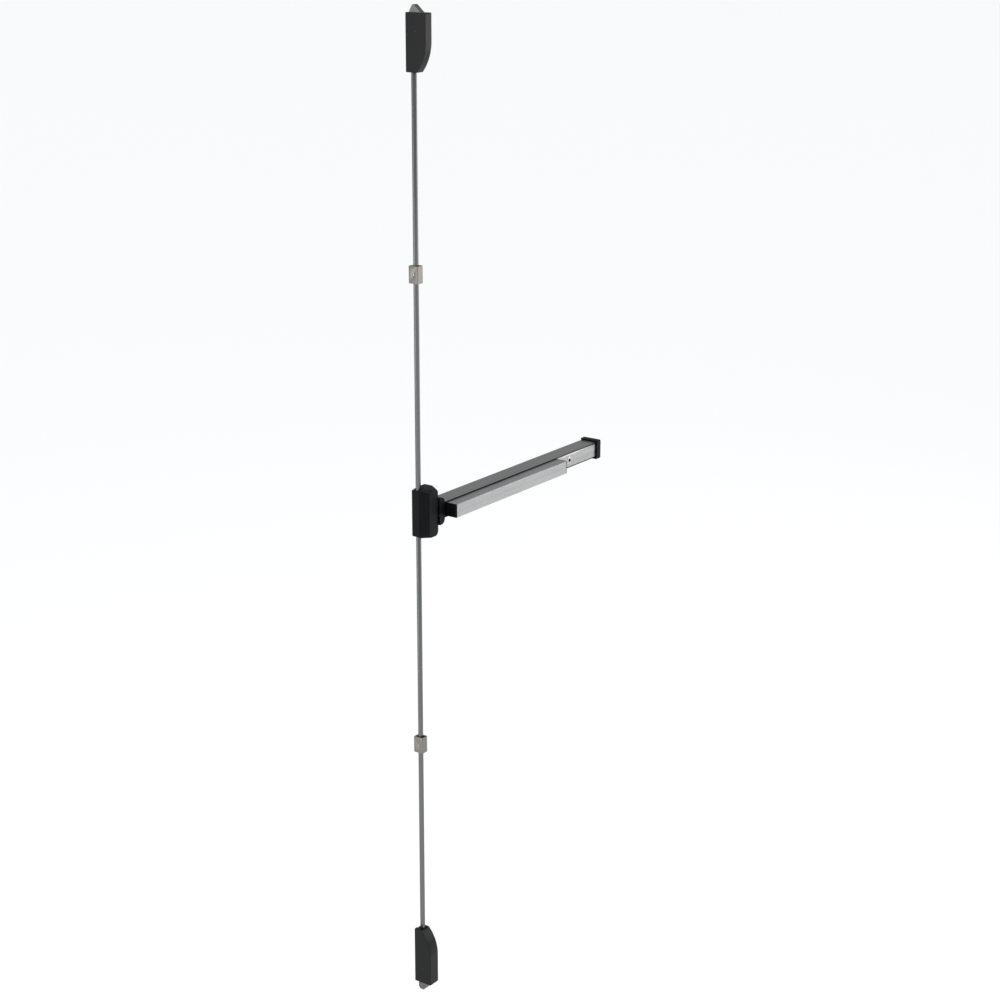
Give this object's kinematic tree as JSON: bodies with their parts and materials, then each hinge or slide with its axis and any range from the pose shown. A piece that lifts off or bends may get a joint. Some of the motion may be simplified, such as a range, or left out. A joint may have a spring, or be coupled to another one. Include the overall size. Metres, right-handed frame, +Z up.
{
  "type": "panic exit bar",
  "caption": "Surface vertical rod panic exit bar: a push pad in a channel draws the bolts of a top and a bottom latch through cranks, a drawbar, levers and rods.",
  "frame": {"origin": "on the door's face, on the rods' line, at the height of the bar's centreline", "axes": "+X along the bar from the rods towards the hinge side, +Y into the door, +Z up"},
  "size_m": [0.7635, 0.0788, 2.4775],
  "materials": {
    "black_moulding": "fine satin black",
    "black_nylon": "matt black",
    "channel_grey": "satin grey",
    "brushed_silver": "brushed lengthwise",
    "satin_steel": "satin",
    "rod_steel": "drawn",
    "bolt_steel": "satin",
    "zinc_steel": "zinc plated",
    "screw_steel": "bright",
    "dark_screw": "black oxide",
    "spring_steel": "oiled wire",
    "bright_brass": "nickel plated, bright"
  },
  "bodies": {
    "frame": {"top_latch_frame": "zinc_steel", "top_latch_cover": "black_moulding", "top_cover_screws": "dark_screw", "top_bolt_spring": "spring_steel", "bottom_latch_frame": "zinc_steel", "bottom_latch_cover": "black_moulding", "bottom_cover_screws": "dark_screw", "bottom_bolt_spring": "spring_steel", "upper_guide_plate": "zinc_steel", "upper_guide_bushing": "black_nylon", "upper_guide_sleeve": "satin_steel", "upper_guide_screws": "screw_steel", "lower_guide_plate": "zinc_steel", "lower_guide_bushing": "black_nylon", "lower_guide_sleeve": "satin_steel", "lower_guide_screws": "screw_steel", "centre_base_plate": "zinc_steel", "centre_case_cover": "black_moulding", "centre_cover_screws": "dark_screw", "lever_pivot_pins": "screw_steel", "channel": "channel_grey", "crank_bracket_lock_side": "zinc_steel", "crank_bracket_hinge_side": "zinc_steel", "crank_pins": "screw_steel", "return_spring": "spring_steel", "spring_bracket": "zinc_steel", "spring_guide_rod": "screw_steel", "dogging_bracket": "zinc_steel", "dogging_bushing": "bright_brass", "cover_plate": "brushed_silver", "end_bracket": "zinc_steel", "end_cap": "black_moulding", "end_cap_screws": "dark_screw"},
    "push_pad": {"push_pad": "brushed_silver", "pad_cap_lock_side": "black_moulding", "pad_cap_hinge_side": "black_moulding", "pad_carrier_lock_side": "zinc_steel", "pad_carrier_hinge_side": "zinc_steel", "pad_pins": "screw_steel"},
    "crank_lock_side": {"crank_lock_side": "zinc_steel"},
    "crank_hinge_side": {"crank_hinge_side": "zinc_steel"},
    "drawbar": {"drawbar": "zinc_steel", "drawbar_pins": "screw_steel"},
    "upper_lever": {"upper_lever": "zinc_steel"},
    "lower_lever": {"lower_lever": "zinc_steel"},
    "upper_rods": {"upper_rod": "rod_steel", "upper_locknuts": "zinc_steel", "upper_carrier": "zinc_steel", "top_connector": "zinc_steel", "top_bolt": "bolt_steel"},
    "lower_rods": {"lower_rod": "rod_steel", "lower_locknuts": "zinc_steel", "lower_carrier": "zinc_steel", "bottom_connector": "zinc_steel", "bottom_bolt": "bolt_steel"},
    "dogging": {"dogging_screw": "screw_steel", "dogging_hook": "zinc_steel"}
  },
  "joints": [
    {"name": "pad_slide", "type": "slide", "parent": "frame", "child": "push_pad", "axis": [0, 1, 0], "range_m": [0, 0.016], "stiffness_N_per_m": 1500, "springref_m": -0.012},
    {"name": "crank_lock_side_turn", "type": "hinge", "parent": "frame", "child": "crank_lock_side", "pos_m": [0.15, -0.031, 0], "axis": [0, 0, 1], "range_deg": [-34.21, 0]},
    {"name": "crank_hinge_side_turn", "type": "hinge", "parent": "frame", "child": "crank_hinge_side", "pos_m": [0.45, -0.031, 0], "axis": [0, 0, 1], "range_deg": [-34.21, 0]},
    {"name": "drawbar_slide", "type": "slide", "parent": "frame", "child": "drawbar", "axis": [1, 0, 0], "range_m": [0, 0.01108], "deforming": ["return_spring"]},
    {"name": "upper_lever_turn", "type": "hinge", "parent": "frame", "child": "upper_lever", "pos_m": [0.02275, -0.0047, 0.03], "axis": [0, 1, 0], "range_deg": [-43.17, 0]},
    {"name": "lower_lever_turn", "type": "hinge", "parent": "frame", "child": "lower_lever", "pos_m": [0.02275, -0.0047, -0.03], "axis": [0, 1, 0], "range_deg": [0, 43.17]},
    {"name": "upper_rods_slide", "type": "slide", "parent": "frame", "child": "upper_rods", "axis": [0, 0, -1], "range_m": [0, 0.018], "deforming": ["top_bolt_spring"]},
    {"name": "lower_rods_slide", "type": "slide", "parent": "frame", "child": "lower_rods", "axis": [0, 0, 1], "range_m": [0, 0.018], "deforming": ["bottom_bolt_spring"]},
    {"name": "dogging_turn", "type": "hinge", "parent": "frame", "child": "dogging", "pos_m": [0.604, -0.021, 0], "axis": [0, 1, 0], "range_deg": [0, 90]}
  ],
  "couplings": [
    {"joint": "crank_lock_side_turn", "follows": "pad_slide", "rad_per_m": -37.312},
    {"joint": "crank_hinge_side_turn", "follows": "pad_slide", "rad_per_m": -37.312},
    {"joint": "drawbar_slide", "follows": "pad_slide", "ratio": 0.69231},
    {"joint": "upper_lever_turn", "follows": "pad_slide", "rad_per_m": -47.089},
    {"joint": "lower_lever_turn", "follows": "pad_slide", "rad_per_m": 47.089},
    {"joint": "upper_rods_slide", "follows": "pad_slide", "ratio": 1.125},
    {"joint": "lower_rods_slide", "follows": "pad_slide", "ratio": 1.125}
  ]
}
